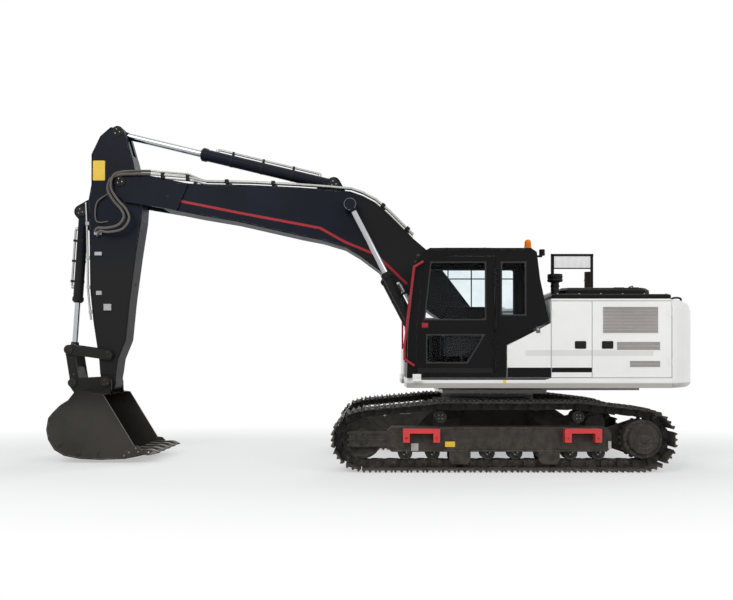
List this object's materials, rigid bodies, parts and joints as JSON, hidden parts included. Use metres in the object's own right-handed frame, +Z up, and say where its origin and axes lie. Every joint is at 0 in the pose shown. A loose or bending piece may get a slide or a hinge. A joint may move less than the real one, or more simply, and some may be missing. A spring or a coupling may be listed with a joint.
{
  "type": "crawler excavator",
  "caption": "Tracked digging machine with boom, arm and toothed bucket, glazed cab, slewing upper body and rounded counterweight.",
  "frame": {"origin": "middle of the footprint of the whole machine, on the ground", "axes": "+Z up; the machine faces -X, so +X points to the counterweight; the cab is on the -Y side"},
  "size_m": [9.1026, 2.99, 4.8516],
  "materials": {
    "body_white": "gloss paint",
    "frame_black": "satin paint",
    "cab_black": "satin paint",
    "track_brown": "worn steel",
    "frame_brown": "matt paint",
    "digging_steel": "satin paint",
    "chrome": "polished",
    "rail_red": "gloss paint",
    "glass": "clear",
    "amber": "clear lens",
    "seat_cloth": "woven",
    "engine_grey": "cast",
    "tank_white": "gloss paint"
  },
  "bodies": {
    "undercarriage": {"track_left": "track_brown", "track_right": "track_brown", "track_frame_left": "frame_brown", "track_frame_right": "frame_brown", "idler_left": "frame_brown", "idler_right": "frame_brown", "sprocket_left": "frame_brown", "sprocket_right": "frame_brown", "carbody": "frame_brown", "slewing_ring": "engine_grey"},
    "upper": {"swing_frame": "body_white", "counterweight": "body_white", "cab_shell": "cab_black", "quarter_glass": "glass", "right_glass": "glass", "windscreen": "glass", "rear_glass": "glass", "operator_station": "engine_grey", "operator_seat": "seat_cloth", "cab_grab_rail": "rail_red", "beacon": "amber", "engine_house": "body_white", "top_cover": "cab_black", "engine_block": "engine_grey", "cooler_pack": "cab_black", "batteries": "cab_black", "air_filter": "cab_black", "tool_box": "tank_white", "fuel_tank": "tank_white", "hydraulic_tank": "tank_white", "service_handrail": "frame_black", "right_grab_rail": "rail_red", "exhaust_stack": "cab_black", "air_intake": "cab_black"},
    "boom": {"boom": "frame_black"},
    "boom_cylinder_barrels": {"boom_cylinder_barrel_left": "frame_black", "boom_cylinder_barrel_right": "frame_black"},
    "boom_cylinder_rods": {"boom_cylinder_rod_left": "chrome", "boom_cylinder_rod_right": "chrome"},
    "arm_cylinder_barrel": {"arm_cylinder_barrel": "frame_black"},
    "arm_cylinder_rod": {"arm_cylinder_rod": "chrome"},
    "arm": {"arm": "frame_black"},
    "bucket_cylinder_barrel": {"bucket_cylinder_barrel": "frame_black"},
    "bucket_cylinder_rod": {"bucket_cylinder_rod": "chrome"},
    "tipping_links": {"tipping_links": "digging_steel"},
    "bucket_link": {"bucket_link": "digging_steel"},
    "bucket": {"bucket": "digging_steel"},
    "cab_door": {"cab_door": "cab_black", "cab_door_upper_glass": "glass", "cab_door_lower_glass": "glass"},
    "battery_door": {"battery_door": "body_white"},
    "filter_door": {"filter_door": "body_white"},
    "cooler_door": {"cooler_door": "body_white"},
    "pump_door": {"pump_door": "body_white"},
    "engine_hood": {"engine_hood": "cab_black"}
  },
  "joints": [
    {"name": "slew", "type": "hinge", "parent": "undercarriage", "child": "upper", "pos_m": [1.7, 0, 0.98], "axis": [0, 0, 1], "continuous": true},
    {"name": "boom_lift", "type": "hinge", "parent": "upper", "child": "boom", "pos_m": [1.6, 0, 1.78], "axis": [0, -1, 0], "range_deg": [-38.5, 65.5]},
    {"name": "boom_cylinder_swing", "type": "hinge", "parent": "upper", "child": "boom_cylinder_barrels", "pos_m": [0.96, 0, 1.22], "axis": [0, 1, 0], "range_deg": [-66, 39]},
    {"name": "boom_cylinder_stroke", "type": "slide", "parent": "boom_cylinder_barrels", "child": "boom_cylinder_rods", "axis": [-0.4609, 0, 0.8874], "range_m": [-0.87, 0.515]},
    {"name": "arm_crowd", "type": "hinge", "parent": "boom", "child": "arm", "pos_m": [-3.6391, 0, 4.0255], "axis": [0, 1, 0], "range_deg": [-34, 84]},
    {"name": "arm_cylinder_swing", "type": "hinge", "parent": "boom", "child": "arm_cylinder_barrel", "pos_m": [-0.554, 0, 4.0142], "axis": [0, 1, 0], "range_deg": [-3, 2]},
    {"name": "arm_cylinder_stroke", "type": "slide", "parent": "arm_cylinder_barrel", "child": "arm_cylinder_rod", "axis": [-0.9726, 0, 0.2326], "range_m": [-0.87, 0.36]},
    {"name": "bucket_curl", "type": "hinge", "parent": "arm", "child": "bucket", "pos_m": [-3.8428, 0, 1.1126], "axis": [0, 1, 0], "range_deg": [-98, 62]},
    {"name": "bucket_cylinder_swing", "type": "hinge", "parent": "arm", "child": "bucket_cylinder_barrel", "pos_m": [-4.2495, 0, 3.61], "axis": [0, 1, 0], "range_deg": [-4, 3]},
    {"name": "bucket_cylinder_stroke", "type": "slide", "parent": "bucket_cylinder_barrel", "child": "bucket_cylinder_rod", "axis": [-0.0691, 0, -0.9976], "range_m": [-0.42, 0.66]},
    {"name": "tipping_links_swing", "type": "hinge", "parent": "arm", "child": "tipping_links", "pos_m": [-3.8149, 0, 1.5116], "axis": [0, -1, 0], "range_deg": [-47, 74]},
    {"name": "bucket_link_swing", "type": "hinge", "parent": "tipping_links", "child": "bucket_link", "pos_m": [-4.3892, 0, 1.5923], "axis": [0, 1, 0], "range_deg": [-36, 57]},
    {"name": "cab_door_hinge", "type": "hinge", "parent": "upper", "child": "cab_door", "pos_m": [1.6056, -1.382, 1.2103], "axis": [0, 0, 1], "range_deg": [0, 170]},
    {"name": "battery_door_hinge", "type": "hinge", "parent": "upper", "child": "battery_door", "pos_m": [1.761, -1.36, 1.21], "axis": [0, 0, 1], "range_deg": [-110, 0]},
    {"name": "filter_door_hinge", "type": "hinge", "parent": "upper", "child": "filter_door", "pos_m": [2.338, -1.36, 1.21], "axis": [0, 0, 1], "range_deg": [-100, 0]},
    {"name": "cooler_door_hinge", "type": "hinge", "parent": "upper", "child": "cooler_door", "pos_m": [3.896, -1.36, 1.21], "axis": [0, 0, -1], "range_deg": [-110, 0]},
    {"name": "pump_door_hinge", "type": "hinge", "parent": "upper", "child": "pump_door", "pos_m": [2.338, 1.36, 1.21], "axis": [0, 0, -1], "range_deg": [-110, 0]},
    {"name": "engine_hood_hinge", "type": "hinge", "parent": "upper", "child": "engine_hood", "pos_m": [2.59, 0, 2.3103], "axis": [0, 1, 0], "range_deg": [-70, 0]}
  ],
  "couplings": [
    {"joint": "boom_cylinder_swing", "follows": "boom_lift", "ratio": -0.9981},
    {"joint": "boom_cylinder_stroke", "follows": "boom_lift", "m_per_rad": -0.7573},
    {"joint": "arm_cylinder_swing", "follows": "arm_crowd", "ratio": -0.0279},
    {"joint": "arm_cylinder_stroke", "follows": "arm_crowd", "m_per_rad": -0.5876},
    {"joint": "bucket_cylinder_swing", "follows": "bucket_curl", "ratio": 0.029},
    {"joint": "bucket_cylinder_stroke", "follows": "bucket_curl", "m_per_rad": -0.384},
    {"joint": "tipping_links_swing", "follows": "bucket_curl", "ratio": -0.75},
    {"joint": "bucket_link_swing", "follows": "bucket_curl", "ratio": -0.57}
  ]
}
